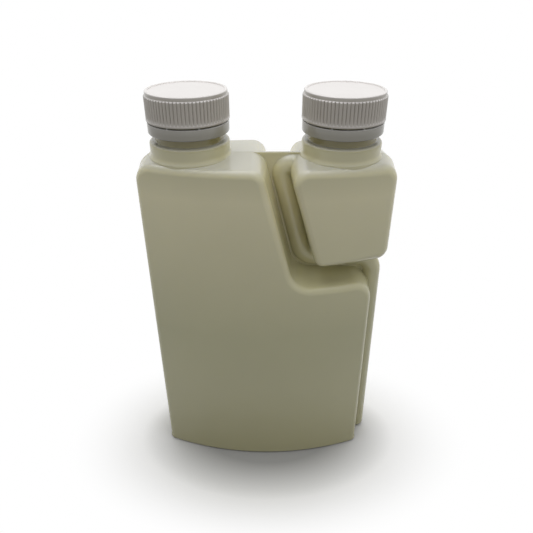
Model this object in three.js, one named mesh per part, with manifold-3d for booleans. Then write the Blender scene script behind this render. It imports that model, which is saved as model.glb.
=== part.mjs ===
// Twin-neck dosing bottle, blow moulded in one piece: a flat reservoir, a dosing chamber at its upper right and
// the transfer tube that fills the chamber from the foot of the reservoir. Each neck has a screw cap with a
// liner and a tamper band.
// Millimetres, +Z up, front at -Y, origin at the middle of the base.
import * as THREE from 'three';
import { mergeVertices } from 'three/addons/utils/BufferGeometryUtils.js';
import Module from 'manifold-3d';

const wasm = await Module();
wasm.setup();
const radians = THREE.MathUtils.degToRad;

// Body: its front and back faces follow one curve in plan, and its side walls lean in from the parting plane
const bodyHalfWidth = 68.5;
const bodyHalfDepth = 28;
const faceRadius = 180;
const shoulderHeight = 201.4;
const wall = 1.3;
const mouldDraft = radians(3);
const faceEdgeRadius = 4;
const baseEdgeRadius = 1.8;
const baseCornerRadius = 4;
const shoulderCornerRadius = 11;
const basePushUp = 1.6;
const standingRim = 8;

// Cleft between reservoir and dosing chamber
const cleftLean = radians(14.3);
const chamberLean = radians(16);
const reservoirCleftTopX = -1.8;
const chamberCleftTopX = 8.4;
const chamberSideInset = 1.2;
const cleftTubeGap = 0.8;
const chamberTubeLap = 0.5;
const reservoirSlopeFillet = 12;
const shelfHeight = 133;
const shelfCornerRadius = 13;
const reservoirFootInset = 6.65;
const reservoirShelfInset = 8.35;
const chamberEdgeRadius = 5.5;
const cleftCornerRadius = 9;
const cornerExtra = 1;
const webThickness = 1.6;
const webDrop = 0.2;

// Transfer tube
const tubeRadius = 5.2;
const tubeWall = 1.2;
const tubeFootHeight = 0.8;
const tubeShelfInset = 2.2;
const tubeBendRadius = 9;
const tubeShelfGap = 0.8;
const tubePortHeight = 8;
const tubePortRadius = 2.6;
const tubeOutletDrop = 6.3;
const tubeSides = 16;
const boreSides = 12;

// Necks, alike on both chambers
const reservoirNeckInset = 28.3;
const dosingNeckInset = 29.4;
const neckBore = 16;
const neckWall = 1.4;
const neckRimRound = 0.5;
const collarStep = 3.1;
const collarHeight = 7.1;
const collarRound = 1.5;
const beadStep = 1.3;
const beadHeight = 1.6;
const neckSegments = 48;

// Closures, which stack upwards from the collar
const fit = 0.3;
const bandGap = 4;
const bandHeight = 5.5;
const bandThickness = 1.57;
const bandHookHeight = 4;
const bandNibs = 8;
const bandNibHeight = 0.55;
const bandSlit = 0.9;
const capHeight = 14.1;
const capPanel = 1.6;
const capWall = 1.35;
const capThreadRoom = 1.5;
const capFlangeStep = 0.75;
const capFlangeHeight = 1.5;
const capEdgeRound = 1;
const capSmoothTop = 2.9;
const capRibs = 72;
const capRibDepth = 0.6;
const linerThickness = 1.2;
const linerSideGap = 0.5;

// How finely the moulding's rounded outlines and curved faces are cut
const outsideArc = radians(12);
const insideArc = radians(22.5);
const outsideStrip = 8;
const insideStrip = 12;

// Heights, radii and places that follow
const draftReach = Math.tan(mouldDraft) * bodyHalfDepth;
const chamberCornerRadius = draftReach + faceEdgeRadius + cornerExtra;
const chamberEndRadius = draftReach + chamberEdgeRadius + cornerExtra;
const chamberSideX = bodyHalfWidth - chamberSideInset;
const faceCentreX = (chamberSideX - bodyHalfWidth) / 2;
const reservoirNeckX = reservoirNeckInset - bodyHalfWidth;
const dosingNeckX = chamberSideX - dosingNeckInset;
const reservoirFootX = bodyHalfWidth - reservoirFootInset;
const reservoirShelfX = bodyHalfWidth - reservoirShelfInset;
const tubeFootX = bodyHalfWidth - tubeRadius;
const tubeShelfX = tubeFootX - tubeShelfInset;
const collarTop = shoulderHeight + collarHeight;
const bandBottom = collarTop + bandGap;
const bandTop = bandBottom + bandHeight;
const skirtBottom = bandTop + bandSlit;
const capTop = skirtBottom + capHeight;
const panelBottom = capTop - capPanel;
const linerTop = panelBottom - fit;
const linerBottom = linerTop - linerThickness;
const neckRim = linerBottom - fit;
const neckRadius = neckBore + neckWall;
const collarRadius = neckRadius + collarStep;
const beadRadius = neckRadius + beadStep;
const bandBore = beadRadius + fit;
const hookBore = neckRadius + fit;
const capBore = neckRadius + capThreadRoom;
const capRadius = capBore + capWall;
const flangeRadius = capRadius + capFlangeStep;

// Solids: a closed triangle mesh becomes a manifold, turned so that its faces point out
function closedSolid(positions, triangles) {
  const geometry = new THREE.BufferGeometry();
  geometry.setAttribute('position', new THREE.Float32BufferAttribute(positions, 3));
  geometry.setIndex(triangles);
  return solidFrom(geometry);
}

function signedVolume(position, index) {
  const corner = [new THREE.Vector3(), new THREE.Vector3(), new THREE.Vector3()];
  let volume = 0;
  for (let i = 0; i < index.count; i += 3) {
    corner.forEach((point, k) => point.fromBufferAttribute(position, index.getX(i + k)));
    volume += corner[0].dot(corner[1].clone().cross(corner[2])) / 6;
  }
  return volume;
}

function solidFrom(geometry) {
  geometry.deleteAttribute('normal');
  geometry.deleteAttribute('uv');
  const merged = mergeVertices(geometry, 1e-4);
  const triVerts = new Uint32Array(merged.index.array);
  if (signedVolume(merged.attributes.position, merged.index) < 0) triVerts.reverse();
  return new wasm.Manifold(
    new wasm.Mesh({ numProp: 3, vertProperties: new Float32Array(merged.attributes.position.array), triVerts }),
  );
}

function meshFrom(solid, name, material) {
  const data = solid.getMesh();
  const geometry = new THREE.BufferGeometry();
  geometry.setAttribute('position', new THREE.BufferAttribute(data.vertProperties, 3));
  geometry.setIndex(new THREE.BufferAttribute(data.triVerts, 1));
  geometry.computeVertexNormals();
  const mesh = new THREE.Mesh(geometry, material);
  mesh.name = name;
  return mesh;
}

// A round solid about an upright axis at x, from [radius, height] points that start and end on the axis or close
function turned(profile, x, segments = neckSegments) {
  const points = profile.map(([radius, height]) => new THREE.Vector2(radius, height));
  const geometry = new THREE.LatheGeometry(points, segments);
  geometry.rotateX(Math.PI / 2);
  geometry.translate(x, 0, 0);
  return solidFrom(geometry);
}

// Outlines in the XZ plane: corners { x, z, round, edge } become points with an inward normal. The walk is
// anticlockwise seen from the front, so inward is to the left of the way along.
function roundedOutline(corners, arcStep, open = false) {
  const outline = [];
  const count = corners.length;
  const direction = (from, to) => {
    const length = Math.hypot(to.x - from.x, to.z - from.z);
    return { x: (to.x - from.x) / length, z: (to.z - from.z) / length };
  };
  corners.forEach((corner, i) => {
    const before = corners[(i + count - 1) % count];
    const after = corners[(i + 1) % count];
    const atEnd = open && (i === 0 || i === count - 1);
    const inward = i === 0 && open ? direction(corner, after) : direction(before, corner);
    const outward = i === count - 1 && open ? inward : direction(corner, after);
    const turn = Math.atan2(
      inward.x * outward.z - inward.z * outward.x,
      inward.x * outward.x + inward.z * outward.z,
    );
    const round = atEnd ? 0 : corner.round;
    const setBack = round * Math.tan(Math.abs(turn) / 2);
    const start = { x: corner.x - inward.x * setBack, z: corner.z - inward.z * setBack };
    const side = Math.sign(turn) || 1;
    const centre = { x: start.x - side * inward.z * round, z: start.z + side * inward.x * round };
    const steps = round > 0 ? Math.max(1, Math.ceil(Math.abs(turn) / arcStep)) : 0;
    for (let k = 0; k <= steps; k += 1) {
      const angle = steps ? (turn * k) / steps : 0;
      const ahead = {
        x: inward.x * Math.cos(angle) - inward.z * Math.sin(angle),
        z: inward.z * Math.cos(angle) + inward.x * Math.sin(angle),
      };
      outline.push({
        x: centre.x + side * ahead.z * round,
        z: centre.z - side * ahead.x * round,
        nx: -ahead.z,
        nz: ahead.x,
        edge: corner.edge,
      });
    }
  });
  return outline;
}

// A lens-shaped moulding: the outline at the parting plane, drafted side walls, rounded edges and the two
// curved faces. An inset gives the cavity inside it.
const faceDepth = (x) => bodyHalfDepth - faceRadius + Math.sqrt(faceRadius ** 2 - (x - faceCentreX) ** 2);
const faceSlope = (x) => (faceCentreX - x) / Math.sqrt(faceRadius ** 2 - (x - faceCentreX) ** 2);

function edgeSection(point, options) {
  const under = options.flatBase ? Math.max(0, point.nz) : 0;
  const inset = options.inset + options.floorInset * under;
  const outer = THREE.MathUtils.lerp(point.edge, baseEdgeRadius, under);
  const radius = Math.max(outer - options.inset, outer / 4);
  const draft = mouldDraft * (1 - under);
  const wallInset = inset + Math.tan(draft) * (bodyHalfDepth - radius);
  const centreInset = wallInset + radius * Math.cos(draft);
  const slopeX = point.x + point.nx * centreInset;
  const tilt = Math.atan(-faceSlope(slopeX) * -point.nx);
  const lastAngle = Math.PI / 2 - Math.abs(tilt);
  const place = (distance) => ({ x: point.x + point.nx * distance, z: point.z + point.nz * distance });
  const tangent = place(centreInset - radius * Math.cos(lastAngle));
  const centreDepth = faceDepth(tangent.x) - options.inset - radius * Math.sin(lastAngle);
  const section = [{ ...place(inset), y: 0 }];
  for (let k = 0; k <= options.edgeSteps; k += 1) {
    const angle = THREE.MathUtils.lerp(draft, lastAngle, k / options.edgeSteps);
    section.push({
      ...place(centreInset - radius * Math.cos(angle)),
      y: centreDepth + radius * Math.sin(angle),
    });
  }
  return section;
}

function withCuts(outline, cuts, innerX) {
  const result = [];
  outline.forEach((point, i) => {
    const next = outline[(i + 1) % outline.length];
    const from = innerX(point);
    const to = innerX(next);
    result.push({ ...point, strips: [cuts.filter((cut) => cut < from).length] });
    const between = cuts.map((cut, index) => ({ cut, index })).filter(({ cut }) => (cut - from) * (cut - to) < 0);
    if (to < from) between.reverse();
    for (const { cut, index } of between) {
      const share = (cut - from) / (to - from);
      const blend = (key) => THREE.MathUtils.lerp(point[key], next[key], share);
      const length = Math.hypot(blend('nx'), blend('nz'));
      result.push({
        x: blend('x'),
        z: blend('z'),
        nx: blend('nx') / length,
        nz: blend('nz') / length,
        edge: blend('edge'),
        strips: [index, index + 1],
      });
    }
  });
  return result;
}

function lensSolid(plainOutline, options) {
  const cuts = [];
  for (let x = -bodyHalfWidth; x < bodyHalfWidth; x += options.faceStep) cuts.push(x);
  const outline = withCuts(plainOutline, cuts, (point) => edgeSection(point, options).at(-1).x);
  const sections = outline.map((point) => edgeSection(point, options));
  const count = outline.length;
  const levels = sections[0].length;
  const positions = [];
  const triangles = [];
  for (let level = 1 - levels; level < levels; level += 1) {
    for (const section of sections) {
      const point = section[Math.abs(level)];
      positions.push(point.x, Math.sign(level) * point.y, point.z);
    }
  }
  const rings = 2 * levels - 1;
  for (let ring = 0; ring + 1 < rings; ring += 1) {
    for (let i = 0; i < count; i += 1) {
      const a = ring * count + i;
      const b = ring * count + ((i + 1) % count);
      triangles.push(a, b, b + count, a, b + count, a + count);
    }
  }
  const frontFace = faceTriangles(outline, sections.map((section) => section.at(-1)), cuts.length);
  const lastRing = (rings - 1) * count;
  for (const [a, b, c] of frontFace) {
    triangles.push(a, c, b, lastRing + a, lastRing + b, lastRing + c);
  }
  return closedSolid(positions, triangles);
}

// The flat ring inside the edges, filled in upright strips so that the triangles follow the curved face
function faceTriangles(outline, ring, cutCount) {
  const found = [];
  for (let strip = 0; strip <= cutCount; strip += 1) {
    const members = ring.map((_, i) => i).filter((i) => outline[i].strips.includes(strip));
    if (members.length < 3) continue;
    const contour = members.map((i) => new THREE.Vector2(ring[i].x, ring[i].z));
    for (const corners of THREE.ShapeUtils.triangulateShape(contour, [])) {
      found.push(corners.map((k) => members[k]));
    }
  }
  return found;
}

// A round tube along a path in the XZ plane, with its own radius at each point
function sweptTube(path, sides) {
  const positions = [];
  const triangles = [];
  path.forEach((point) => {
    for (let k = 0; k < sides; k += 1) {
      const angle = (2 * Math.PI * k) / sides;
      const across = point.radius * Math.cos(angle);
      positions.push(point.x + point.nx * across, point.radius * Math.sin(angle), point.z + point.nz * across);
    }
  });
  for (let ring = 0; ring + 1 < path.length; ring += 1) {
    for (let k = 0; k < sides; k += 1) {
      const a = ring * sides + k;
      const b = ring * sides + ((k + 1) % sides);
      triangles.push(a, b, b + sides, a, b + sides, a + sides);
    }
  }
  const lastRing = (path.length - 1) * sides;
  for (let k = 1; k + 1 < sides; k += 1) {
    triangles.push(0, k + 1, k, lastRing, lastRing + k, lastRing + k + 1);
  }
  return closedSolid(positions, triangles);
}

// An XZ outline of plain points given a thickness about the parting plane
function flatSolid(points, thickness) {
  const shape = new THREE.Shape(points.map(({ x, z }) => new THREE.Vector2(x, z)));
  const geometry = new THREE.ExtrudeGeometry(shape, { depth: thickness, bevelEnabled: false });
  geometry.translate(0, 0, -thickness / 2);
  geometry.rotateX(Math.PI / 2);
  return solidFrom(geometry);
}

// Cleft lines: the tube leans with the reservoir's side of the cleft, and the chamber's side leans a little more
const leaning = (topX, angle, height) => topX + Math.tan(angle) * (shoulderHeight - height);
const tubeCleftTopX = reservoirCleftTopX + cleftTubeGap + tubeRadius / Math.cos(cleftLean);
const reservoirCleftX = (height) => leaning(reservoirCleftTopX, cleftLean, height);
const tubeCleftX = (height) => leaning(tubeCleftTopX, cleftLean, height);
const chamberCleftX = (height) => leaning(chamberCleftTopX, chamberLean, height);
const tubeShelfHeight = shelfHeight + tubeShelfGap + tubeRadius;
const chamberBottom = tubeShelfHeight + tubeRadius - chamberTubeLap;

const reservoirCorners = [
  { x: -bodyHalfWidth, z: 0, round: baseCornerRadius, edge: faceEdgeRadius },
  { x: reservoirFootX, z: 0, round: baseCornerRadius, edge: faceEdgeRadius },
  { x: reservoirShelfX, z: shelfHeight, round: shelfCornerRadius, edge: faceEdgeRadius },
  { x: reservoirCleftX(shelfHeight), z: shelfHeight, round: reservoirSlopeFillet, edge: faceEdgeRadius },
  { x: reservoirCleftX(shoulderHeight), z: shoulderHeight, round: cleftCornerRadius, edge: faceEdgeRadius },
  { x: -bodyHalfWidth, z: shoulderHeight, round: shoulderCornerRadius, edge: faceEdgeRadius },
];

const chamberCorners = [
  { x: chamberCleftX(chamberBottom), z: chamberBottom, round: chamberCornerRadius, edge: faceEdgeRadius },
  { x: chamberSideX, z: chamberBottom, round: chamberEndRadius, edge: chamberEdgeRadius },
  { x: chamberSideX, z: shoulderHeight, round: shoulderCornerRadius, edge: chamberEdgeRadius },
  { x: chamberCleftX(shoulderHeight), z: shoulderHeight, round: cleftCornerRadius, edge: faceEdgeRadius },
];

// Tube centre line: up the right side, under the chamber, up the cleft and over into the chamber
const tubeOutletHeight = shoulderHeight - tubeOutletDrop;
const tubeOutletX = chamberCleftX(tubeOutletHeight) + wall + tubeRadius;
const tubeCorners = [
  { x: tubeFootX, z: tubeFootHeight, round: 0 },
  { x: tubeShelfX, z: tubeShelfHeight, round: tubeBendRadius },
  { x: tubeCleftX(tubeShelfHeight), z: tubeShelfHeight, round: tubeBendRadius },
  { x: tubeCleftX(tubeOutletHeight), z: tubeOutletHeight, round: tubeRadius },
  { x: tubeOutletX, z: tubeOutletHeight, round: 0 },
];

function tubeOutside() {
  const path = roundedOutline(tubeCorners, outsideArc, true).map((point) => ({ ...point, radius: tubeRadius }));
  const foot = path.shift();
  const footRound = tubeRadius / 3;
  const footStations = [0, 30, 60, 90].map((degrees) => ({
    ...foot,
    z: foot.z + footRound * (1 - Math.cos(radians(degrees))),
    radius: tubeRadius - footRound * (1 - Math.sin(radians(degrees))),
  }));
  return sweptTube([...footStations, ...path], tubeSides);
}

function tubeBore() {
  const radius = tubeRadius - tubeWall;
  const corners = tubeCorners.map((corner) => ({ ...corner }));
  corners[0].z = tubePortHeight;
  const port = [
    { x: tubeFootX, z: tubePortHeight, nx: 0, nz: 1, radius: tubePortRadius },
    { x: reservoirFootX - tubeRadius * 2, z: tubePortHeight, nx: 0, nz: 1, radius: tubePortRadius },
  ];
  const path = roundedOutline(corners, insideArc, true).map((point) => ({ ...point, radius }));
  path.unshift({ ...path[0], z: tubePortHeight - tubePortRadius });
  return sweptTube(path, boreSides).add(sweptTube(port, boreSides));
}

// Pinched web that joins reservoir, tube and chamber at the parting plane
function pinchWeb() {
  const centre = roundedOutline(tubeCorners, insideArc, true);
  const outerRun = centre.filter((point) => point.x > (tubeShelfX + tubeCleftX(tubeShelfHeight)) / 2);
  const webTop = shoulderHeight - webDrop;
  const points = [
    ...outerRun,
    { x: tubeShelfX - 2 * tubeBendRadius, z: chamberBottom + 2 * wall },
    { x: chamberCleftX(chamberBottom) + chamberCornerRadius, z: chamberBottom + chamberCornerRadius },
    { x: chamberCleftX(webTop) + cleftCornerRadius, z: webTop },
    { x: reservoirCleftX(webTop) - cleftCornerRadius, z: webTop },
    { x: reservoirCleftX(shelfHeight) - reservoirSlopeFillet, z: shelfHeight - reservoirSlopeFillet },
    { x: reservoirShelfX - shelfCornerRadius, z: shelfHeight - shelfCornerRadius },
    { x: reservoirFootX - wall * 2, z: shelfHeight - 2 * shelfCornerRadius },
    { x: reservoirFootX - wall * 2, z: outerRun[0].z },
  ];
  return flatSolid(points, webThickness);
}

function neckOutside(x) {
  const root = shoulderHeight - faceEdgeRadius;
  const beadBottom = bandBottom + bandHookHeight + fit;
  const beadTop = beadBottom + beadHeight;
  const round = [0, 45, 90].map((degrees) => [
    collarRadius - collarRound * (1 - Math.cos(radians(degrees))),
    collarTop - collarRound * (1 - Math.sin(radians(degrees))),
  ]);
  return turned([
    [0, root],
    [collarRadius, root],
    ...round,
    [neckRadius, collarTop],
    [neckRadius, beadBottom],
    [beadRadius, beadBottom],
    [beadRadius, beadBottom + beadHeight / 3],
    [neckRadius, beadTop],
    [neckRadius, neckRim - neckRimRound],
    [neckRadius - neckRimRound, neckRim],
    [0, neckRim],
  ], x);
}

function neckInside(x) {
  const collarBore = collarRadius - wall;
  const collarRoof = collarTop - wall;
  return turned([
    [0, shoulderHeight - wall * 3],
    [collarBore, shoulderHeight - wall * 3],
    [collarBore, collarRoof - collarStep],
    [neckBore, collarRoof],
    [neckBore, neckRim + 1],
    [0, neckRim + 1],
  ], x);
}

// Shallow recess under the base, which leaves a flat rim to stand on
function baseRecess() {
  const left = -bodyHalfWidth + standingRim;
  const right = reservoirFootX - standingRim;
  const steps = 12;
  const edge = (side) => Array.from({ length: steps + 1 }, (_, k) => {
    const x = THREE.MathUtils.lerp(left, right, side > 0 ? 1 - k / steps : k / steps);
    return new THREE.Vector2(x, side * (faceDepth(x) - standingRim));
  });
  const shape = new THREE.Shape([...edge(-1), ...edge(1)]);
  const geometry = new THREE.ExtrudeGeometry(shape, { depth: basePushUp + 1, bevelEnabled: false });
  geometry.translate(0, 0, -1);
  return solidFrom(geometry);
}

function bottleBody() {
  const reservoir = roundedOutline(reservoirCorners, outsideArc);
  const chamber = roundedOutline(chamberCorners, outsideArc);
  const outside = { inset: 0, floorInset: 0, edgeSteps: 4, faceStep: outsideStrip };
  const inside = { inset: wall, floorInset: basePushUp, edgeSteps: 3, faceStep: insideStrip };
  const tube = tubeOutside();
  const skin = [
    lensSolid(reservoir, { ...outside, flatBase: true }),
    lensSolid(chamber, { ...outside, flatBase: false }),
    tube,
    pinchWeb(),
    neckOutside(reservoirNeckX),
    neckOutside(dosingNeckX),
  ].reduce((sum, solid) => sum.add(solid));
  const coarseReservoir = roundedOutline(reservoirCorners, insideArc);
  const coarseChamber = roundedOutline(chamberCorners, insideArc);
  const reservoirCavity = lensSolid(coarseReservoir, { ...inside, flatBase: true }).subtract(tube);
  const chamberCavity = lensSolid(coarseChamber, { ...inside, flatBase: false });
  const necks = [neckInside(reservoirNeckX), neckInside(dosingNeckX)];
  return [reservoirCavity, chamberCavity, tubeBore(), ...necks, baseRecess()].reduce(
    (sum, solid) => sum.subtract(solid),
    skin,
  );
}

// Screw cap: a turned shell with a ring of grip ribs between its smooth top and its flange
function screwCap(x) {
  const flangeTop = skirtBottom + capFlangeHeight;
  const shell = turned([
    [0, capTop],
    [capRadius - capEdgeRound, capTop],
    [capRadius - capEdgeRound * 0.3, capTop - capEdgeRound * 0.3],
    [capRadius, capTop - capEdgeRound],
    [capRadius, flangeTop + capFlangeStep],
    [flangeRadius, flangeTop],
    [flangeRadius, skirtBottom + fit],
    [flangeRadius - fit, skirtBottom],
    [capBore, skirtBottom],
    [capBore, panelBottom],
    [0, panelBottom],
  ], x, capRibs);
  return shell.add(gripRibs(x, flangeTop, capTop - capSmoothTop));
}

function gripRibs(x, bottom, top) {
  const points = [];
  for (let k = 0; k < 2 * capRibs; k += 1) {
    const radius = capRadius + (k % 2 ? capRibDepth : -fit);
    const angle = (Math.PI * k) / capRibs;
    points.push(new THREE.Vector2(radius * Math.cos(angle), radius * Math.sin(angle)));
  }
  const shape = new THREE.Shape(points);
  const hole = new THREE.Path();
  hole.absarc(0, 0, capBore + capWall / 2, 0, 2 * Math.PI, true);
  shape.holes.push(hole);
  const geometry = new THREE.ExtrudeGeometry(shape, { depth: top - bottom, bevelEnabled: false, curveSegments: 24 });
  geometry.translate(x, 0, bottom);
  return solidFrom(geometry);
}

function capLiner(x) {
  const radius = capBore - linerSideGap;
  return turned([[0, linerBottom], [radius, linerBottom], [radius, linerTop], [0, linerTop]], x);
}

// Tamper band: held under the neck's bead by an inner hook, with the stubs of its bridges in the slit
function tamperBand(x) {
  const outer = bandBore + bandThickness;
  const round = bandThickness / 2;
  const hookTop = bandBottom + bandHookHeight;
  const band = turned([
    [outer - round, bandBottom],
    [outer - round * 0.3, bandBottom + round * 0.3],
    [outer, bandBottom + round],
    [outer, bandTop],
    [bandBore, bandTop],
    [bandBore, hookTop],
    [hookBore, hookTop],
    [bandBore, bandBottom],
    [outer - round, bandBottom],
  ], x);
  const nib = new THREE.BoxGeometry(bandThickness * 0.6, bandThickness * 0.6, bandNibHeight * 2);
  nib.translate(bandBore + bandThickness / 2, 0, bandTop);
  return Array.from({ length: bandNibs }, (_, k) => {
    const stub = nib.clone().rotateZ((2 * Math.PI * (k + 0.5)) / bandNibs).translate(x, 0, 0);
    return solidFrom(stub);
  }).reduce((sum, stub) => sum.add(stub), band);
}

// Materials
const naturalPolyethylene = new THREE.MeshStandardMaterial({ color: 0x99957a, roughness: 0.42, metalness: 0 });
const capPlastic = new THREE.MeshStandardMaterial({ color: 0xe4dfdb, roughness: 0.4, metalness: 0 });
const bandPlastic = new THREE.MeshStandardMaterial({ color: 0xd2d0d0, roughness: 0.4, metalness: 0 });
const linerFoam = new THREE.MeshStandardMaterial({ color: 0xf4f2ec, roughness: 0.8, metalness: 0 });

const bottle = new THREE.Group();
bottle.add(meshFrom(bottleBody(), 'bottle_body', naturalPolyethylene));
for (const [name, x] of [['reservoir', reservoirNeckX], ['dosing', dosingNeckX]]) {
  bottle.add(meshFrom(screwCap(x), `${name}_cap`, capPlastic));
  bottle.add(meshFrom(capLiner(x), `${name}_cap_liner`, linerFoam));
  bottle.add(meshFrom(tamperBand(x), `${name}_tamper_band`, bandPlastic));
}

export default bottle;
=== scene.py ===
import math

import bmesh
import bpy
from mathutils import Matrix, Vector


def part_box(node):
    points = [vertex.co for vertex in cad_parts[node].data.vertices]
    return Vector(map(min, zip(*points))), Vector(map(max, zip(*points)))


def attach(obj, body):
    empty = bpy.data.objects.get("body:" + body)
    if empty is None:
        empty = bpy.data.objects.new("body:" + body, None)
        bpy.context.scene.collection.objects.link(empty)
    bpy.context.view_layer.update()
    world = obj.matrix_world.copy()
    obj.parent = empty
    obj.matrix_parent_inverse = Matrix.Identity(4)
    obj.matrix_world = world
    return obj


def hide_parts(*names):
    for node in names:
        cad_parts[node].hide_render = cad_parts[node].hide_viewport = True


# Twin-neck dosing bottle: the moulded body, necks, screw caps, liners and tamper bands, dressed round the
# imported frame. Lengths are in metres, and the parting plane of the moulding is y = 0.
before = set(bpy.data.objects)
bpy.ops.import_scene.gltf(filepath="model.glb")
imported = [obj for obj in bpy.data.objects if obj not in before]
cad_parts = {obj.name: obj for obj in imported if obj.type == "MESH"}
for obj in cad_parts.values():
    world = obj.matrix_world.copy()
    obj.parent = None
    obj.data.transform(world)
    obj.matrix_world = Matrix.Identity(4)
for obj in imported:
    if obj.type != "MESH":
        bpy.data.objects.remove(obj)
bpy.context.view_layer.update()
MM = 0.001

# Sizes read from the frame
BODY_LOW, BODY_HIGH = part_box("bottle_body")
CAP_LOW, CAP_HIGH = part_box("reservoir_cap")
LINER_LOW, LINER_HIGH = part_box("reservoir_cap_liner")
BAND_LOW, BAND_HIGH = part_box("reservoir_tamper_band")
NECK_RIM = BODY_HIGH.z
CAP_TOP = CAP_HIGH.z
SKIRT_BOTTOM = CAP_LOW.z
CAP_OUTER = (CAP_HIGH.x - CAP_LOW.x) / 2
BAND_OUTER = (BAND_HIGH.x - BAND_LOW.x) / 2
LINER_RADIUS = (LINER_HIGH.x - LINER_LOW.x) / 2
HALF_DEPTH = BODY_HIGH.y
NECK_X = {}
for side in ("reservoir", "dosing"):
    low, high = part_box(side + "_cap")
    NECK_X[side] = (low.x + high.x) / 2

# Sizes of the mouldings that the boxes don't give
FACE_RADIUS = 180 * MM
DRAFT = math.radians(3)
FACE_EDGE = 4 * MM
CHAMBER_EDGE = 5.5 * MM
BASE_EDGE = 1.8 * MM
WALL = 1.3 * MM
CHAMBER_SIDE = BODY_HIGH.x - 1.2 * MM
FACE_CENTRE = (BODY_LOW.x + CHAMBER_SIDE) / 2
SHOULDER = 201.4 * MM
SHELF = 133 * MM
FOOT_INSET = 6.65 * MM
SHELF_INSET = 8.35 * MM
FOOT_CORNER = 4 * MM
SHELF_CORNER = 13 * MM
CLEFT_FOOT_CORNER = 12 * MM
CLEFT_TOP_CORNER = 9 * MM
SHOULDER_CORNER = 11 * MM
CHAMBER_CORNER_SPARE = 1 * MM
CLEFT_LEAN = math.radians(14.3)
CHAMBER_LEAN = math.radians(16)
RESERVOIR_CLEFT_TOP = -1.8 * MM
CHAMBER_CLEFT_TOP = 8.4 * MM
CLEFT_TUBE_GAP = 0.8 * MM
TUBE_RADIUS = 5.2 * MM
TUBE_BEND = 9 * MM
TUBE_FOOT = 0.8 * MM
TUBE_SHELF_GAP = 0.8 * MM
TUBE_SHELF_INSET = 2.2 * MM
TUBE_OUTLET_DROP = 6.3 * MM
CHAMBER_TUBE_LAP = 0.5 * MM
CHAMBER_BOTTOM = SHELF + TUBE_SHELF_GAP + 2 * TUBE_RADIUS - CHAMBER_TUBE_LAP
WEB_HALF = 0.8 * MM
WEB_DROP = 0.15 * MM
STANDING_RIM = 8 * MM
RECESS_DEPTH = 1.6 * MM
RECESS_TAPER = 1.2 * MM
PARTING_RIDGE = 0.22 * MM

# Sizes of the necks and closures
COLLAR_RADIUS = 20.5 * MM
COLLAR_TOP = BAND_LOW.z - 4 * MM
NECK_RADIUS = 17.4 * MM
BEAD_RADIUS = 18.7 * MM
BEAD_BOTTOM = BAND_LOW.z + 4.3 * MM
THREAD_PITCH = 4.2 * MM
THREAD_RADIUS = 18.5 * MM
CAP_BORE = 18.9 * MM
RIBS = 72
BRIDGES = 8

# Fineness of the meshes
ARC_STEP = math.radians(6)
FACE_STRIP = 5 * MM
SLIVER = 0.04 * MM
AXIS_HOLE = 0.3 * MM


# Mesh helpers
def new_object(name, mesh):
    obj = bpy.data.objects.new(name, mesh)
    bpy.context.scene.collection.objects.link(obj)
    return obj


def mesh_from_bmesh(name, bm):
    bmesh.ops.recalc_face_normals(bm, faces=bm.faces)
    mesh = bpy.data.meshes.new(name)
    bm.to_mesh(mesh)
    bm.free()
    return new_object(name, mesh)


def shade(obj, smooth_angle):
    """Smooth shading, broken at the edges that turn by more than the angle, in degrees."""
    obj.data.polygons.foreach_set("use_smooth", [True] * len(obj.data.polygons))
    obj.data.set_sharp_from_angle(angle=math.radians(smooth_angle))


def apply_modifiers(obj):
    graph = bpy.context.evaluated_depsgraph_get()
    mesh = bpy.data.meshes.new_from_object(obj.evaluated_get(graph))
    obj.modifiers.clear()
    old = obj.data
    obj.data = mesh
    bpy.data.meshes.remove(old)


def join_rings(bm, rings):
    """Faces between each ring of points and the next."""
    for here, there in zip(rings, rings[1:]):
        for i in range(len(here)):
            j = (i + 1) % len(here)
            bm.faces.new((here[i], here[j], there[j], there[i]))


def upright_ring(bm, centre_x, angle, section):
    """Points (radius, height) in the upright plane that stands at an angle about the axis at centre_x."""
    across = math.cos(angle)
    ahead = math.sin(angle)
    return [bm.verts.new((centre_x + r * across, r * ahead, z)) for r, z in section]


def add_turned(bm, profile, centre_x, steps, radius_at=None):
    """Closed ring of revolution about an upright axis; radius_at(angle, radius, height) may shape it."""
    rings = []
    for k in range(steps):
        angle = 2 * math.pi * k / steps
        section = profile
        if radius_at:
            section = [(radius_at(angle, radius, height), height) for radius, height in profile]
        rings.append(upright_ring(bm, centre_x, angle, section))
    join_rings(bm, rings + [rings[0]])


def close_axis(bm, centre_x):
    """Draws the small hole that a ring of revolution leaves on its axis together to a point."""
    near = [v for v in bm.verts if math.hypot(v.co.x - centre_x, v.co.y) < 1.2 * AXIS_HOLE]
    for vert in near:
        vert.co.x = centre_x
        vert.co.y = 0
    bmesh.ops.remove_doubles(bm, verts=near, dist=1e-7)
    loose = [e for e in bm.edges if not e.link_faces]
    bmesh.ops.delete(bm, geom=loose, context="EDGES")


def arc(centre, radius, start, end, steps):
    """Points of an arc in the radius-height plane, angles in degrees."""
    points = []
    for k in range(steps + 1):
        angle = math.radians(start + (end - start) * k / steps)
        points.append((centre[0] + radius * math.cos(angle), centre[1] + radius * math.sin(angle)))
    return points


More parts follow.
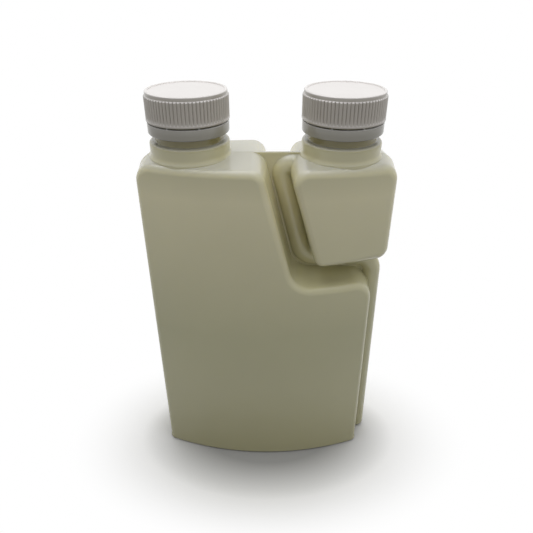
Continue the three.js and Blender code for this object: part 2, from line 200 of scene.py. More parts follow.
def add_helix(bm, centre_x, root, crest, base_height, turns, half_width):
    """Screw ridge from the root radius to the crest radius, rising anticlockwise, with faded ends."""
    per_turn = 48
    taper_turns = 0.2
    count = int(turns * per_turn)
    rings = []
    for k in range(count + 1):
        angle = 2 * math.pi * k / per_turn
        ends = min(k, count - k) / (taper_turns * per_turn)
        share = min(1.0, 0.08 + ends)
        tip = root + (crest - root) * share
        buried = root - (crest - root) * 0.3
        middle = base_height + THREAD_PITCH * k / per_turn
        section = (
            (buried, middle - half_width),
            (root, middle - half_width),
            (tip, middle - half_width * 0.45),
            (tip, middle + half_width * 0.45),
            (root, middle + half_width),
            (buried, middle + half_width),
        )
        rings.append(upright_ring(bm, centre_x, angle, section))
    join_rings(bm, rings)
    bm.faces.new(rings[0])
    bm.faces.new(list(reversed(rings[-1])))


# Moulded body: outlines in the parting plane, as points (x, z, inward x, inward z, edge radius)
def heading(start, end):
    """Unit vector from one corner to the next."""
    length = math.hypot(end[0] - start[0], end[1] - start[1])
    return (end[0] - start[0]) / length, (end[1] - start[1]) / length


def rounded_outline(corners, is_open=False):
    """Corners (x, z, rounding, edge radius), taken anticlockwise, with an arc in place of each."""
    outline = []
    count = len(corners)
    for i, corner in enumerate(corners):
        x, z, round_off, edge = corner
        first = is_open and i == 0
        last = is_open and i == count - 1
        after = corners[(i + 1) % count]
        arriving = heading(corner, after) if first else heading(corners[i - 1], corner)
        leaving = arriving if last else heading(corner, after)
        crossed = arriving[0] * leaving[1] - arriving[1] * leaving[0]
        turn = math.atan2(crossed, arriving[0] * leaving[0] + arriving[1] * leaving[1])
        radius = 0 if first or last else round_off
        set_back = radius * math.tan(abs(turn) / 2)
        side = 1 if turn >= 0 else -1
        centre = (
            x - arriving[0] * set_back - side * arriving[1] * radius,
            z - arriving[1] * set_back + side * arriving[0] * radius,
        )
        steps = max(1, math.ceil(abs(turn) / ARC_STEP)) if radius > 0 else 0
        for k in range(steps + 1):
            angle = turn * k / steps if steps else 0
            ahead_x = arriving[0] * math.cos(angle) - arriving[1] * math.sin(angle)
            ahead_z = arriving[1] * math.cos(angle) + arriving[0] * math.sin(angle)
            place = (centre[0] + side * ahead_z * radius, centre[1] - side * ahead_x * radius)
            outline.append((*place, -ahead_z, ahead_x, edge))
    return outline


def face_depth(x):
    """Half the moulding's depth at x: both faces are shallow arcs."""
    return HALF_DEPTH - FACE_RADIUS + math.sqrt(FACE_RADIUS**2 - (x - FACE_CENTRE) ** 2)


def edge_section(point, flat_base):
    """From the parting ridge over the drafted wall and the rounded edge to the curved face."""
    x, z, nx, nz, edge = point
    under = max(0.0, nz) if flat_base else 0.0
    radius = edge + (BASE_EDGE - edge) * under
    draft = DRAFT * (1 - under)
    ridge = PARTING_RIDGE * (1 - under)
    centre = math.tan(draft) * (HALF_DEPTH - radius) + radius * math.cos(draft)
    off = x + nx * centre - FACE_CENTRE
    tilt = abs(math.atan(off / math.sqrt(FACE_RADIUS**2 - off**2) * nx))
    end = math.pi / 2 - tilt
    reach = centre - radius * math.cos(end)
    centre_y = face_depth(x + nx * reach) - radius * math.sin(end)
    section = [(x, 0.0, z)]
    for inset, depth in ((ridge * 0.4, 0.2 * MM), (ridge, 0.45 * MM), (ridge, 1.2 * MM)):
        section.append((x + nx * inset, depth, z + nz * inset))
    steps = 8
    for k in range(steps + 1):
        angle = draft + (end - draft) * k / steps
        inset = centre - radius * math.cos(angle)
        section.append((x + nx * inset, centre_y + radius * math.sin(angle), z + nz * inset))
    return section


def lens_mesh(name, outline, flat_base):
    """A moulding with rounded edges and the two curved faces, each filled in upright strips."""
    strips = int((BODY_HIGH.x - BODY_LOW.x) / FACE_STRIP)
    cuts = [BODY_LOW.x + FACE_STRIP * k for k in range(1, strips + 1)]
    points = []
    for here, there in zip(outline, outline[1:] + outline[:1]):
        start = edge_section(here, flat_base)[-1][0]
        end = edge_section(there, flat_base)[-1][0]
        points.append((here, {sum(cut < start for cut in cuts)}))
        between = [k for k, cut in enumerate(cuts) if (cut - start) * (cut - end) < 0]
        for k in between if end > start else reversed(between):
            share = (cuts[k] - start) / (end - start)
            mixed = [a + (b - a) * share for a, b in zip(here, there)]
            length = math.hypot(mixed[2], mixed[3])
            mixed[2] /= length
            mixed[3] /= length
            points.append((tuple(mixed), {k, k + 1}))
    bm = bmesh.new()
    sections = [edge_section(point, flat_base) for point, _ in points]
    rings = []
    for level in range(1 - len(sections[0]), len(sections[0])):
        side = 1 if level > 0 else -1
        level_points = [section[abs(level)] for section in sections]
        rings.append([bm.verts.new((x, side * y, z)) for x, y, z in level_points])
    join_rings(bm, rings)
    for ring in (rings[0], rings[-1]):
        for k in range(len(cuts) + 1):
            members = [ring[i] for i, (_, held_by) in enumerate(points) if k in held_by]
            if len(members) > 2:
                bm.faces.new(members)
    return mesh_from_bmesh(name, bm)


def leaning(top_x, lean, height):
    """x at a height, on a line that starts at top_x on the shoulder and leans towards +x on its way down."""
    return top_x + math.tan(lean) * (SHOULDER - height)


def reservoir_cleft(height):
    return leaning(RESERVOIR_CLEFT_TOP, CLEFT_LEAN, height)


def tube_cleft(height):
    wall = RESERVOIR_CLEFT_TOP + CLEFT_TUBE_GAP
    return leaning(wall + TUBE_RADIUS / math.cos(CLEFT_LEAN), CLEFT_LEAN, height)


def chamber_cleft(height):
    return leaning(CHAMBER_CLEFT_TOP, CHAMBER_LEAN, height)


def reservoir_mesh():
    corners = [
        (BODY_LOW.x, 0, FOOT_CORNER, FACE_EDGE),
        (BODY_HIGH.x - FOOT_INSET, 0, FOOT_CORNER, FACE_EDGE),
        (BODY_HIGH.x - SHELF_INSET, SHELF, SHELF_CORNER, FACE_EDGE),
        (reservoir_cleft(SHELF), SHELF, CLEFT_FOOT_CORNER, FACE_EDGE),
        (reservoir_cleft(SHOULDER), SHOULDER, CLEFT_TOP_CORNER, FACE_EDGE),
        (BODY_LOW.x, SHOULDER, SHOULDER_CORNER, FACE_EDGE),
    ]
    return lens_mesh("reservoir", rounded_outline(corners), True)


def chamber_mesh():
    corner = DRAFT * HALF_DEPTH + CHAMBER_CORNER_SPARE
    corners = [
        (chamber_cleft(CHAMBER_BOTTOM), CHAMBER_BOTTOM, corner + FACE_EDGE, FACE_EDGE),
        (CHAMBER_SIDE, CHAMBER_BOTTOM, corner + CHAMBER_EDGE, CHAMBER_EDGE),
        (CHAMBER_SIDE, SHOULDER, SHOULDER_CORNER, CHAMBER_EDGE),
        (chamber_cleft(SHOULDER), SHOULDER, CLEFT_TOP_CORNER, FACE_EDGE),
    ]
    return lens_mesh("chamber", rounded_outline(corners), False)


def tube_line():
    """Centre line of the transfer tube: up the side, under the chamber and up the cleft into it."""
    run = SHELF + TUBE_SHELF_GAP + TUBE_RADIUS
    outlet = SHOULDER - TUBE_OUTLET_DROP
    foot_x = BODY_HIGH.x - TUBE_RADIUS
    corners = [
        (foot_x, TUBE_FOOT, 0, 0),
        (foot_x - TUBE_SHELF_INSET, run, TUBE_BEND, 0),
        (tube_cleft(run), run, TUBE_BEND, 0),
        (tube_cleft(outlet), outlet, TUBE_RADIUS, 0),
        (chamber_cleft(outlet) + WALL + TUBE_RADIUS, outlet, 0, 0),
    ]
    return rounded_outline(corners, is_open=True)


def tube_mesh():
    """Round tube along its line, with the foot rounded off."""
    line = tube_line()
    foot = line[0]
    round_off = TUBE_RADIUS / 3
    stations = []
    for k in range(7):
        angle = math.radians(15 * k)
        height = foot[1] + round_off * (1 - math.cos(angle))
        radius = TUBE_RADIUS - round_off * (1 - math.sin(angle))
        stations.append((foot[0], height, foot[2], foot[3], radius))
    stations += [(x, z, nx, nz, TUBE_RADIUS) for x, z, nx, nz, _ in line[1:]]
    bm = bmesh.new()
    sides = 40
    rings = []
    for x, z, nx, nz, radius in stations:
        ring = []
        for k in range(sides):
            angle = 2 * math.pi * k / sides
            across = radius * math.cos(angle)
            ring.append(bm.verts.new((x + nx * across, radius * math.sin(angle), z + nz * across)))
        rings.append(ring)
    join_rings(bm, rings)
    bm.faces.new(rings[0])
    bm.faces.new(rings[-1])
    return mesh_from_bmesh("tube", bm)


def web_mesh():
    """Pinched web between reservoir, tube and chamber; its other corners lie hidden inside them."""
    line = [(x, z) for x, z, *_ in tube_line()]
    middle = (BODY_HIGH.x + reservoir_cleft(SHELF)) / 2
    top = SHOULDER - WEB_DROP
    points = [(x, z) for x, z in line if x > middle]
    points += [
        (BODY_HIGH.x - 30 * MM, CHAMBER_BOTTOM + 3 * MM),
        (chamber_cleft(CHAMBER_BOTTOM) + 7 * MM, CHAMBER_BOTTOM + 7 * MM),
        (chamber_cleft(top) + 9 * MM, top),
        (reservoir_cleft(top) - 9 * MM, top),
        (reservoir_cleft(SHELF) - 12 * MM, SHELF - 12 * MM),
        (BODY_HIGH.x - 21 * MM, SHELF - 13 * MM),
        (BODY_HIGH.x - 9 * MM, SHELF - 26 * MM),
        (BODY_HIGH.x - 9 * MM, line[0][1] + 1 * MM),
    ]
    return extruded("web", points, 1, WEB_HALF)


def extruded(name, points, axis, half, taper=0):
    """Slab about the plane across the axis; the taper draws its upper outline in towards the middle."""
    middle = [sum(p[i] for p in points) / len(points) for i in (0, 1)]
    bm = bmesh.new()
    loops = []
    for side in (-1, 1):
        loop = []
        for u, v in points:
            if side > 0 and taper:
                u -= math.copysign(taper, u - middle[0])
                v -= math.copysign(taper, v - middle[1])
            place = (u, side * half, v) if axis == 1 else (u, v, side * half)
            loop.append(bm.verts.new(place))
        loops.append(loop)
    join_rings(bm, loops)
    bm.faces.new(loops[0])
    bm.faces.new(loops[1])
    return mesh_from_bmesh(name, bm)


def base_recess():
    """The hollow under the base, inside the standing rim."""
    left = BODY_LOW.x + STANDING_RIM
    right = BODY_HIGH.x - FOOT_INSET - STANDING_RIM
    steps = 32
    front = []
    for k in range(steps + 1):
        x = left + (right - left) * k / steps
        front.append((x, -(face_depth(x) - STANDING_RIM)))
    points = front + [(x, -y) for x, y in reversed(front)]
    return extruded("base_recess", points, 2, RECESS_DEPTH, RECESS_TAPER)


def neck_mesh(centre_x):
    """Collar with a filleted foot, wall, bead for the tamper band and sealing rim, filled solid."""
    bm = bmesh.new()
    collar_round = 1.4 * MM
    rim_round = 0.6 * MM
    # Outwards from the collar's wall and upwards from the shoulder, in millimetres
    foot = [(0.9, -4.0), (0.9, -0.7), (0.5, -0.1), (0.2, 0.5), (0.0, 1.2), (0.0, 2.0)]
    profile = [(AXIS_HOLE, SHOULDER - 4 * MM)]
    profile += [(COLLAR_RADIUS + out * MM, SHOULDER + up * MM) for out, up in foot]
    profile += arc((COLLAR_RADIUS - collar_round, COLLAR_TOP - collar_round), collar_round, 0, 80, 6)
    profile += [(NECK_RADIUS + 0.8 * MM, COLLAR_TOP)]
    profile += [(NECK_RADIUS + 0.25 * MM, COLLAR_TOP + 0.2 * MM), (NECK_RADIUS, COLLAR_TOP + 0.8 * MM)]
    profile += [
        (NECK_RADIUS, BEAD_BOTTOM),
        (BEAD_RADIUS - 0.2 * MM, BEAD_BOTTOM),
        (BEAD_RADIUS, BEAD_BOTTOM + 0.2 * MM),
        (BEAD_RADIUS, BEAD_BOTTOM + 0.5 * MM),
        (NECK_RADIUS, BEAD_BOTTOM + 1.6 * MM),
    ]
    profile += arc((NECK_RADIUS - rim_round, NECK_RIM - rim_round), rim_round, 0, 90, 4)
    profile += [(AXIS_HOLE, NECK_RIM)]
    add_turned(bm, profile, centre_x, 128)
    close_axis(bm, centre_x)
    return mesh_from_bmesh("neck", bm)


def cavity_mesh():
    """The inner skin of the body's solid, closed a little above the neck rims."""
    at_rim = NECK_RIM - 0.01 * MM
    rise = 2 * MM
    bm = bmesh.new()
    bm.from_mesh(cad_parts["bottle_body"].data)
    bmesh.ops.remove_doubles(bm, verts=bm.verts, dist=1e-6)
    rim = [f for f in bm.faces if all(v.co.z > at_rim for v in f.verts)]
    bmesh.ops.delete(bm, geom=rim, context="FACES")
    outer = {min(bm.verts, key=lambda v: v.co.z)}
    stack = list(outer)
    while stack:
        for edge in stack.pop().link_edges:
            for vert in edge.verts:
                if vert not in outer:
                    outer.add(vert)
                    stack.append(vert)
    bmesh.ops.delete(bm, geom=list(outer), context="VERTS")
    for vert in bm.verts:
        if vert.co.z > at_rim:
            vert.co.z += rise
    open_edges = [e for e in bm.edges if len(e.link_faces) == 1]
    bmesh.ops.holes_fill(bm, edges=open_edges, sides=0)
    return mesh_from_bmesh("cavity", bm)


def combine(target, operation, tools):
    """Adds the tools to the target or cuts them out of it, and removes them."""
    for tool in tools:
        boolean = target.modifiers.new(operation, "BOOLEAN")
        boolean.operation = operation
        boolean.solver = "EXACT"
        boolean.object = tool
    apply_modifiers(target)
    for tool in tools:
        bpy.data.objects.remove(tool)


def without_slivers(obj):
    """Closes the needle-thin faces that cuts leave, which would bend the shading beside them."""
    bm = bmesh.new()
    bm.from_mesh(obj.data)
    bmesh.ops.remove_doubles(bm, verts=bm.verts, dist=SLIVER)
    bmesh.ops.dissolve_degenerate(bm, dist=SLIVER, edges=bm.edges)
    bm.to_mesh(obj.data)
    bm.free()


def bottle_body():
    """Reservoir, chamber, tube and web as one hollow moulding."""
    body = reservoir_mesh()
    body.name = "bottle_moulding"
    combine(body, "UNION", [chamber_mesh(), tube_mesh(), web_mesh()])
    combine(body, "DIFFERENCE", [base_recess(), cavity_mesh()])
    without_slivers(body)
    shade(body, 30)
    weighted = body.modifiers.new("weighted", "WEIGHTED_NORMAL")
    weighted.keep_sharp = True
    weighted.weight = 60
    apply_modifiers(body)
    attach(body, "bottle")
    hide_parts("bottle_body")
    return body


def neck(side, centre_x):
    """Sunk into the shoulder as a piece of its own, so that its shading stays clean where they meet."""
    piece = neck_mesh(centre_x)
    piece.name = side + "_neck"
    combine(piece, "DIFFERENCE", [cavity_mesh()])
    shade(piece, 30)
    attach(piece, "bottle")
    return piece


def neck_thread(side, centre_x):
    bm = bmesh.new()
    add_helix(bm, centre_x, NECK_RADIUS - 0.03 * MM, THREAD_RADIUS, BEAD_BOTTOM + 3.2 * MM, 1.9, 0.85 * MM)
    thread = mesh_from_bmesh(side + "_neck_thread", bm)
    shade(thread, 35)
    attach(thread, "bottle")
    return thread


# Closures
def rib_wave(angle):
    """0 in a groove, 1 on a rounded rib."""
    phase = (angle * RIBS / (2 * math.pi)) % 1.0
    return math.sqrt(abs(math.sin(math.pi * phase)))


def screw_cap(side, centre_x):
    """Ribbed cap with a sunken disc, a plain lower edge and a thread in its bore."""
    bm = bmesh.new()
    crest = CAP_OUTER - 0.1 * MM
    root = crest - 0.65 * MM
    panel = CAP_TOP - 1.6 * MM
    disc_radius = 18.6 * MM
    recess = 0.4 * MM
    rib_top = CAP_TOP - 1.8 * MM
    rib_bottom = SKIRT_BOTTOM + 1.1 * MM
    run_in = 0.6 * MM
    run_out = 1.1 * MM
    hair = 0.01 * MM

    def shaped(angle, radius, height):
        """The ribs start below their tops, and the grooves between them run out above the lower edge."""
        if radius < root - hair or height <= rib_bottom - hair or height > rib_top:
            return radius
        crest_here = root + (crest - root) * min(1.0, max(0.0, (rib_top - height) / run_in))
        groove_here = crest - (crest - root) * min(1.0, max(0.0, (height - rib_bottom) / run_out))
        wave = rib_wave(angle)
        return min(crest_here, max(root, groove_here + (crest - groove_here) * wave))

    profile = [(AXIS_HOLE, CAP_TOP - recess), (disc_radius, CAP_TOP - recess)]
    profile += [(disc_radius + 0.15 * MM, CAP_TOP - 0.15 * MM)]
    profile += [(disc_radius + 0.4 * MM, CAP_TOP)]
    profile += arc((root - 0.5 * MM, CAP_TOP - 0.5 * MM), 0.5 * MM, 90, 0, 4)
    profile += [(root, CAP_TOP - 1.2 * MM), (root, rib_top)]
    profile += [(root, rib_top - step * MM) for step in (0.2, 0.4, 0.6, 1.2, 3.5, 6.0, 8.5)]
    profile += [(root, rib_bottom + step * MM) for step in (1.0, 0.8, 0.6, 0.4, 0.2, 0.0)]
    profile += [(CAP_OUTER - 0.08 * MM, rib_bottom - 0.02 * MM)]
    profile += arc((CAP_OUTER - 0.3 * MM, SKIRT_BOTTOM + 0.7 * MM), 0.3 * MM, 30, 0, 2)
    profile += arc((CAP_OUTER - 0.3 * MM, SKIRT_BOTTOM + 0.3 * MM), 0.3 * MM, 0, -90, 3)
    profile += [(CAP_BORE + 0.2 * MM, SKIRT_BOTTOM), (CAP_BORE, SKIRT_BOTTOM + 0.3 * MM)]
    profile += [(CAP_BORE, panel), (AXIS_HOLE, panel)]
    add_turned(bm, profile, centre_x, RIBS * 8, shaped)
    close_axis(bm, centre_x)
    add_helix(bm, centre_x, CAP_BORE, THREAD_RADIUS - 0.7 * MM, BEAD_BOTTOM + 5.3 * MM, 1.4, 0.75 * MM)
    cap = mesh_from_bmesh(side + "_screw_cap", bm)
    shade(cap, 28)
    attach(cap, side + "_cap_body")
    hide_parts(side + "_cap")
    return cap


def cap_liner(side, centre_x):
    """Sealing wad under the cap's top, with its rims broken."""
    bm = bmesh.new()
    edge = 0.25 * MM
    profile = [
        (AXIS_HOLE, LINER_HIGH.z),
        (LINER_RADIUS - edge, LINER_HIGH.z),
        (LINER_RADIUS, LINER_HIGH.z - edge),
        (LINER_RADIUS, LINER_LOW.z + edge),
        (LINER_RADIUS - edge, LINER_LOW.z),
        (AXIS_HOLE, LINER_LOW.z),
    ]
    add_turned(bm, profile, centre_x, 96)
    close_axis(bm, centre_x)
    liner = mesh_from_bmesh(side + "_wad", bm)
    shade(liner, 40)
    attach(liner, side + "_cap_liner_body")
    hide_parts(side + "_cap_liner")
    return liner


def tamper_band(side, centre_x):
    """Band with a hook under the neck's bead and the stubs of its torn bridges."""
    bm = bmesh.new()
    inner = BEAD_RADIUS + 0.3 * MM
    hook = NECK_RADIUS + 0.35 * MM
    hook_top = BAND_LOW.z + 4 * MM
    top = SKIRT_BOTTOM - 0.9 * MM
    round_off = 0.8 * MM
    profile = arc((BAND_OUTER - round_off, BAND_LOW.z + round_off), round_off, -90, 0, 5)
    profile += arc((BAND_OUTER - 0.25 * MM, top - 0.25 * MM), 0.25 * MM, 0, 90, 3)
    profile += [(inner, top), (inner, hook_top), (hook, hook_top), (inner, BAND_LOW.z)]
    add_turned(bm, profile, centre_x, 144)
    for k in range(BRIDGES):
        angle = 2 * math.pi * (k + 0.5) / BRIDGES
        add_stub(bm, centre_x, angle, inner + 0.75 * MM, top)
    band = mesh_from_bmesh(side + "_band", bm)
    shade(band, 40)
    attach(band, "bottle")
    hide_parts(side + "_tamper_band")
    return band


def add_stub(bm, centre_x, angle, radius, top):
    """The stub of a bridge: a small tapered post on the band's top."""
    outward = Vector((math.cos(angle), math.sin(angle), 0))
    along = Vector((-math.sin(angle), math.cos(angle), 0))
    centre = Vector((centre_x, 0, 0)) + outward * radius
    loops = []
    for height, half in ((top - 0.3 * MM, 0.5 * MM), (BAND_HIGH.z, 0.35 * MM)):
        loop = []
        for a, b in ((-1, -1), (1, -1), (1, 1), (-1, 1)):
            point = centre + outward * a * half + along * b * half
            loop.append(bm.verts.new((point.x, point.y, height)))
        loops.append(loop)
    join_rings(bm, loops)
    bm.faces.new(list(reversed(loops[0])))
    bm.faces.new(loops[1])


# Materials: linear colours; a moulding's side colours go by height, as a share of the cap's top; sides and
# tops carry painted light and shade
# Olive polyethylene, painted lighter near the shoulder and darker low down, and dark on the neck as painted
# shade under the cap
BOTTLE_SIDE_WITH_PAINTED_LIGHT = [
    (0.0, (0.50, 0.475, 0.285)),
    (0.43, (0.515, 0.50, 0.305)),
    (0.79, (0.77, 0.72, 0.48)),
    (0.888, (0.60, 0.57, 0.37)),
    (0.897, (0.31, 0.27, 0.11)),
]
# Paler, cooler colour on faces that look up: painted sheen and light on the shoulders
BOTTLE_TOP_PAINTED_SHEEN = (0.51, 0.50, 0.42)
# Cap sides painted darker than the disc as shade; the disc is the lit copy
CAP_SIDE_PAINTED_SHADE = (0.52, 0.485, 0.435)
CAP_DISC = (0.70, 0.67, 0.65)
# Band sides painted dark as shade under the cap's lower edge; the top is the lit copy
BAND_SIDE_PAINTED_SHADE = (0.34, 0.325, 0.28)
BAND_TOP = (0.68, 0.67, 0.65)
# Wad sides painted a little darker than its top as shade
LINER_SIDE_PAINTED_SHADE = (0.86, 0.85, 0.82)
LINER_TOP = (0.90, 0.89, 0.86)
MOULDED_ROUGHNESS = 0.2
FOAM_ROUGHNESS = 0.75
# Heights over which the painted top light comes in
PAINTED_TOP_FROM = 160 * MM
PAINTED_TOP_FULL = 195 * MM
MOTTLING = 0.06


def node_material(name):
    material = bpy.data.materials.new(name)
    material.use_nodes = True
    nodes = material.node_tree.nodes
    links = material.node_tree.links
    return material, nodes, links, nodes["Principled BSDF"]


def add_node(nodes, kind, **values):
    node = nodes.new(kind)
    for key, value in values.items():
        setattr(node, key, value)
    return node


def ramp_node(nodes, stops):
    """Colour ramp with a stop for each (place, colour); a new ramp has two of its own."""
    ramp = add_node(nodes, "ShaderNodeValToRGB")
    elements = ramp.color_ramp.elements
    for place, colour in stops[2:]:
        elements.new(place)
    for element, (place, colour) in zip(elements, stops):
        element.position = place
        element.color = (*colour, 1)
    return ramp


def mottling_and_painted_light(nodes, links, shader, side, top, tilt, scale):
    """Side colours by height and a top colour on high faces that look up past the tilt, as painted light and
    shade; and mottling.
    """
    position = add_node(nodes, "ShaderNodeTexCoord")
    place = add_node(nodes, "ShaderNodeSeparateXYZ")
    facing = add_node(nodes, "ShaderNodeSeparateXYZ")
    links.new(position.outputs["Object"], place.inputs[0])
    links.new(position.outputs["Normal"], facing.inputs[0])
    height = add_node(nodes, "ShaderNodeMapRange")
    height.inputs["From Max"].default_value = CAP_TOP
    links.new(place.outputs["Z"], height.inputs["Value"])
    # Side colour by height, carrying painted light and shade
    painted_light_by_height = ramp_node(nodes, side)
    links.new(height.outputs["Result"], painted_light_by_height.inputs["Fac"])
    mix = add_node(nodes, "ShaderNodeMix", data_type="RGBA")
    mix.inputs["B"].default_value = (*top, 1)
    # Top colour on high faces that look up: painted light
    high = add_node(nodes, "ShaderNodeMapRange", interpolation_type="SMOOTHSTEP")
    high.inputs["From Min"].default_value = PAINTED_TOP_FROM
    high.inputs["From Max"].default_value = PAINTED_TOP_FULL
    links.new(place.outputs["Z"], high.inputs["Value"])
    lit_upward_mask = add_node(nodes, "ShaderNodeMapRange")
    lit_upward_mask.inputs["From Min"].default_value = tilt[0]
    lit_upward_mask.inputs["From Max"].default_value = tilt[1]
    links.new(facing.outputs["Z"], lit_upward_mask.inputs["Value"])
    share = add_node(nodes, "ShaderNodeMath", operation="MULTIPLY")
    links.new(lit_upward_mask.outputs["Result"], share.inputs[0])
    links.new(high.outputs["Result"], share.inputs[1])
    links.new(share.outputs[0], mix.inputs["Factor"])
    links.new(painted_light_by_height.outputs["Color"], mix.inputs["A"])
    noise = add_node(nodes, "ShaderNodeTexNoise")
    noise.inputs["Scale"].default_value = scale
    noise.inputs["Detail"].default_value = 3
    links.new(position.outputs["Object"], noise.inputs["Vector"])
    shift = add_node(nodes, "ShaderNodeMapRange")
    shift.inputs["To Min"].default_value = 1 - MOTTLING
    shift.inputs["To Max"].default_value = 1 + MOTTLING
    links.new(noise.outputs["Fac"], shift.inputs["Value"])
    scaled = add_node(nodes, "ShaderNodeVectorMath", operation="SCALE")
    links.new(mix.outputs["Result"], scaled.inputs[0])
    links.new(shift.outputs["Result"], scaled.inputs["Scale"])
    links.new(scaled.outputs[0], shader.inputs["Base Color"])
    return position


def softened(nodes, links, shader, position, radius, scale, strength):
    """Rounded creases and a faint moulded unevenness."""
    bevel = add_node(nodes, "ShaderNodeBevel")
    bevel.samples = 6
    bevel.inputs["Radius"].default_value = radius
    noise = add_node(nodes, "ShaderNodeTexNoise")
    noise.inputs["Scale"].default_value = scale
    noise.inputs["Detail"].default_value = 2
    bump = add_node(nodes, "ShaderNodeBump")
    bump.inputs["Strength"].default_value = strength
    bump.inputs["Distance"].default_value = 0.4 * MM
    links.new(position.outputs["Object"], noise.inputs["Vector"])
    links.new(noise.outputs["Fac"], bump.inputs["Height"])
    links.new(bevel.outputs["Normal"], bump.inputs["Normal"])
    links.new(bump.outputs["Normal"], shader.inputs["Normal"])


def bottle_material():
    material, nodes, links, shader = node_material("natural_polyethylene")
    # Height ramp and paler tops are painted light and shade over the plastic's own colour
    position = mottling_and_painted_light(nodes, links, shader, BOTTLE_SIDE_WITH_PAINTED_LIGHT, BOTTLE_TOP_PAINTED_SHEEN, (0.35, 1.0), 18)
    softened(nodes, links, shader, position, 0.5 * MM, 45, 0.25)
    shader.inputs["Roughness"].default_value = MOULDED_ROUGHNESS
    shader.inputs["Specular IOR Level"].default_value = 0.6
    shader.inputs["Subsurface Weight"].default_value = 0.3
    shader.inputs["Subsurface Radius"].default_value = (1.0, 0.95, 0.6)
    shader.inputs["Subsurface Scale"].default_value = 2.5 * MM
    return material


def plastic_material(name, side, top, roughness):
    material, nodes, links, shader = node_material(name)
    # The side colour is the plastic's painted shade, the top colour its lit copy on faces that look up
    position = mottling_and_painted_light(nodes, links, shader, [(0.0, side), (1.0, side)], top, (0.0, 0.55), 60)
    softened(nodes, links, shader, position, 0.15 * MM, 120, 0.1)
    shader.inputs["Roughness"].default_value = roughness
    return material


def assign(obj, material):
    obj.data.materials.clear()
    obj.data.materials.append(material)


# Stage: the floor's tones, a painted shadow, go by the distance from the bottle's foot, with x squeezed to
# suit its long base
FLOOR_RETURN = (0.30, 0.30, 0.29, 1)
FOOT_SQUEEZE = (0.6, 1, 0)
FOOT_SHIFT = (0, 10 * MM, 0)
# Painted shadow on the floor: its reach and its darkest tone
SHADOW_NEAR = 26 * MM
SHADOW_FAR = 53 * MM
SHADOW_TONE = 0.38
OPEN_TONE = 0.98
WHITE_FROM = 45 * MM
WHITE_FULL = 85 * MM
WORLD_FRONT = 0.38
WORLD_BACK = 0.66
WORLD_RIGHT = 0.12
LENS = 33.93
CAMERA_PLACE = (-0.77 * MM, -255.11 * MM, 285.65 * MM)
CAMERA_PITCH = math.radians(31.17)


def seen_ray(nodes, links):
    """1 for camera, glossy and transmission rays, so that gloss shows the white that the camera sees."""
    path = add_node(nodes, "ShaderNodeLightPath")
    first = add_node(nodes, "ShaderNodeMath", operation="MAXIMUM")
    second = add_node(nodes, "ShaderNodeMath", operation="MAXIMUM")
    links.new(path.outputs["Is Camera Ray"], first.inputs[0])
    links.new(path.outputs["Is Glossy Ray"], first.inputs[1])
    links.new(first.outputs[0], second.inputs[0])
    links.new(path.outputs["Is Transmission Ray"], second.inputs[1])
    return second.outputs[0]


def stage_floor():
    """White where seen, with a painted shadow near the foot, plain white away from the bottle, and grey to
    the light it returns.
    """
    bm = bmesh.new()
    bmesh.ops.create_grid(bm, x_segments=1, y_segments=1, size=4)
    floor = mesh_from_bmesh("floor", bm)
    material, nodes, links, shader = node_material("floor_white")
    seen = seen_ray(nodes, links)
    mix = add_node(nodes, "ShaderNodeMix", data_type="RGBA")
    mix.inputs["A"].default_value = FLOOR_RETURN
    links.new(seen, mix.inputs["Factor"])
    links.new(mix.outputs["Result"], shader.inputs["Base Color"])
    shader.inputs["Roughness"].default_value = 0.9
    shader.inputs["Specular IOR Level"].default_value = 0
    position = add_node(nodes, "ShaderNodeTexCoord")
    squeezed = add_node(nodes, "ShaderNodeVectorMath", operation="MULTIPLY_ADD")
    squeezed.inputs[1].default_value = FOOT_SQUEEZE
    squeezed.inputs[2].default_value = FOOT_SHIFT
    links.new(position.outputs["Object"], squeezed.inputs[0])
    distance = add_node(nodes, "ShaderNodeVectorMath", operation="LENGTH")
    links.new(squeezed.outputs[0], distance.inputs[0])
    # Painted shadow: the seen floor darkens from the open tone to the shadow tone towards the foot
    painted_shadow = add_node(nodes, "ShaderNodeMapRange")
    painted_shadow.inputs["From Min"].default_value = SHADOW_NEAR
    painted_shadow.inputs["From Max"].default_value = SHADOW_FAR
    painted_shadow.inputs["To Min"].default_value = SHADOW_TONE
    painted_shadow.inputs["To Max"].default_value = OPEN_TONE
    links.new(distance.outputs["Value"], painted_shadow.inputs["Value"])
    links.new(painted_shadow.outputs["Result"], mix.inputs["B"])
    far = add_node(nodes, "ShaderNodeMapRange", interpolation_type="SMOOTHSTEP")
    far.inputs["From Min"].default_value = WHITE_FROM
    far.inputs["From Max"].default_value = WHITE_FULL
    links.new(distance.outputs["Value"], far.inputs["Value"])
    share = add_node(nodes, "ShaderNodeMath", operation="MULTIPLY")
    links.new(far.outputs["Result"], share.inputs[0])
    links.new(seen, share.inputs[1])
    plain = add_node(nodes, "ShaderNodeEmission")
    plain.inputs["Color"].default_value = (1, 1, 1, 1)
    blend = add_node(nodes, "ShaderNodeMixShader")
    links.new(share.outputs[0], blend.inputs["Fac"])
    links.new(shader.outputs[0], blend.inputs[1])
    links.new(plain.outputs[0], blend.inputs[2])
    links.new(blend.outputs[0], nodes["Material Output"].inputs["Surface"])
    assign(floor, material)


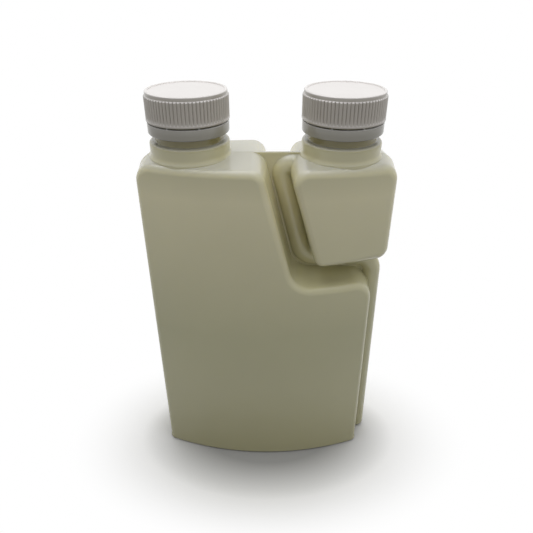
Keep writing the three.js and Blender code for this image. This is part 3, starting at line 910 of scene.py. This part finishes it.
def stage_world():
    """White where it is seen; as a light it is dim in front, brighter behind and a little to the right."""
    world = bpy.data.worlds.new("studio")
    bpy.context.scene.world = world
    world.use_nodes = True
    nodes = world.node_tree.nodes
    links = world.node_tree.links
    background = nodes["Background"]
    background.inputs["Color"].default_value = (1, 1, 1, 1)
    direction = add_node(nodes, "ShaderNodeTexCoord")
    parts = add_node(nodes, "ShaderNodeSeparateXYZ")
    links.new(direction.outputs["Generated"], parts.inputs[0])
    level = add_node(nodes, "ShaderNodeMapRange")
    level.inputs["From Min"].default_value = -0.9
    level.inputs["From Max"].default_value = 0.0
    level.inputs["To Min"].default_value = WORLD_FRONT
    level.inputs["To Max"].default_value = WORLD_BACK
    links.new(parts.outputs["Y"], level.inputs["Value"])
    rightward = add_node(nodes, "ShaderNodeMath", operation="MULTIPLY_ADD")
    rightward.inputs[1].default_value = WORLD_RIGHT
    links.new(parts.outputs["X"], rightward.inputs[0])
    links.new(level.outputs["Result"], rightward.inputs[2])
    strength = add_node(nodes, "ShaderNodeMix", data_type="FLOAT")
    strength.inputs["B"].default_value = 1.0
    links.new(rightward.outputs[0], strength.inputs["A"])
    links.new(seen_ray(nodes, links), strength.inputs["Factor"])
    links.new(strength.outputs["Result"], background.inputs["Strength"])


def area_light(name, place, target, size, power):
    """Soft lamp at a place, turned to its target; size in metres and power in watts."""
    lamp = bpy.data.lights.new(name, "AREA")
    lamp.shape = "RECTANGLE"
    lamp.size, lamp.size_y = size
    lamp.energy = power
    obj = new_object(name, lamp)
    obj.location = place
    obj.rotation_euler = (Vector(target) - Vector(place)).to_track_quat("-Z", "Y").to_euler()


def stage_camera():
    camera = bpy.data.cameras.new("camera")
    camera.sensor_width = 36
    camera.lens = LENS
    obj = new_object("camera", camera)
    obj.location = CAMERA_PLACE
    obj.rotation_euler = (math.pi / 2 - CAMERA_PITCH, 0, 0)
    bpy.context.scene.camera = obj


# The whole scene
stage_camera()
bpy.context.scene.view_settings.view_transform = "Standard"
polyethylene = bottle_material()
cap_plastic = plastic_material("cap_plastic", CAP_SIDE_PAINTED_SHADE, CAP_DISC, MOULDED_ROUGHNESS)
band_plastic = plastic_material("band_plastic", BAND_SIDE_PAINTED_SHADE, BAND_TOP, MOULDED_ROUGHNESS)
liner_foam = plastic_material("liner_foam", LINER_SIDE_PAINTED_SHADE, LINER_TOP, FOAM_ROUGHNESS)
assign(bottle_body(), polyethylene)
for side, centre_x in NECK_X.items():
    assign(neck(side, centre_x), polyethylene)
    assign(neck_thread(side, centre_x), polyethylene)
    assign(screw_cap(side, centre_x), cap_plastic)
    assign(cap_liner(side, centre_x), liner_foam)
    assign(tamper_band(side, centre_x), band_plastic)

stage_floor()
stage_world()
area_light("key", (-0.02, 0.14, 0.85), (0, 0, 0.1), (0.7, 0.5), 2.6)
area_light("strip", (0.02, -0.25, 0.90), (0, 0, 0.15), (0.9, 0.045), 0.6)
